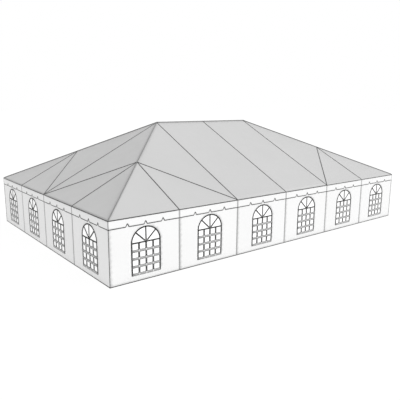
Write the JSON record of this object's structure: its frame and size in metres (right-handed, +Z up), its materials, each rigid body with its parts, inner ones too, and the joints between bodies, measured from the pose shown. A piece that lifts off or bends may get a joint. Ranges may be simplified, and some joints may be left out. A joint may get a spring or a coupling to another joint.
{
  "type": "frame tent",
  "caption": "Large rectangular event tent on a tube frame, with a hipped fabric top, scalloped valances and walls with arched clear windows.",
  "frame": {"origin": "middle of the footprint, on the ground", "axes": "+X along the long side, +Z up; the front faces -Y"},
  "size_m": [18.288, 12.192, 5.4863],
  "materials": {
    "top_fabric": "pale grey coated cloth, matt",
    "valance_fabric": "white coated cloth, matt",
    "wall_fabric": "white coated cloth, matt",
    "window_film": "soft clear plastic film, slightly milky",
    "frame_tube": "plain drawn tube, satin"
  },
  "bodies": {
    "root": {"front_top": "top_fabric", "back_top": "top_fabric", "left_top": "top_fabric", "right_top": "top_fabric", "front_valance": "valance_fabric", "back_valance": "valance_fabric", "left_valance": "valance_fabric", "right_valance": "valance_fabric", "front_wall_1": "wall_fabric", "front_wall_2": "wall_fabric", "front_wall_3": "wall_fabric", "front_wall_4": "wall_fabric", "front_wall_5": "wall_fabric", "front_wall_6": "wall_fabric", "back_wall_1": "wall_fabric", "back_wall_2": "wall_fabric", "back_wall_3": "wall_fabric", "back_wall_4": "wall_fabric", "back_wall_5": "wall_fabric", "back_wall_6": "wall_fabric", "left_wall_1": "wall_fabric", "left_wall_2": "wall_fabric", "left_wall_3": "wall_fabric", "left_wall_4": "wall_fabric", "right_wall_1": "wall_fabric", "right_wall_2": "wall_fabric", "right_wall_3": "wall_fabric", "right_wall_4": "wall_fabric", "front_window_sheet": "window_film", "back_window_sheet": "window_film", "left_window_sheet": "window_film", "right_window_sheet": "window_film", "front_eave_frame": "frame_tube", "back_eave_frame": "frame_tube", "left_eave_frame": "frame_tube", "right_eave_frame": "frame_tube", "left_rafter_frame": "frame_tube", "middle_rafter_frame": "frame_tube", "right_rafter_frame": "frame_tube", "left_ridge_tube": "frame_tube", "right_ridge_tube": "frame_tube", "left_end_rafter": "frame_tube", "right_end_rafter": "frame_tube", "front_left_hip_frame": "frame_tube", "front_right_hip_frame": "frame_tube", "back_left_hip_frame": "frame_tube", "back_right_hip_frame": "frame_tube"}
  },
  "joints": []
}
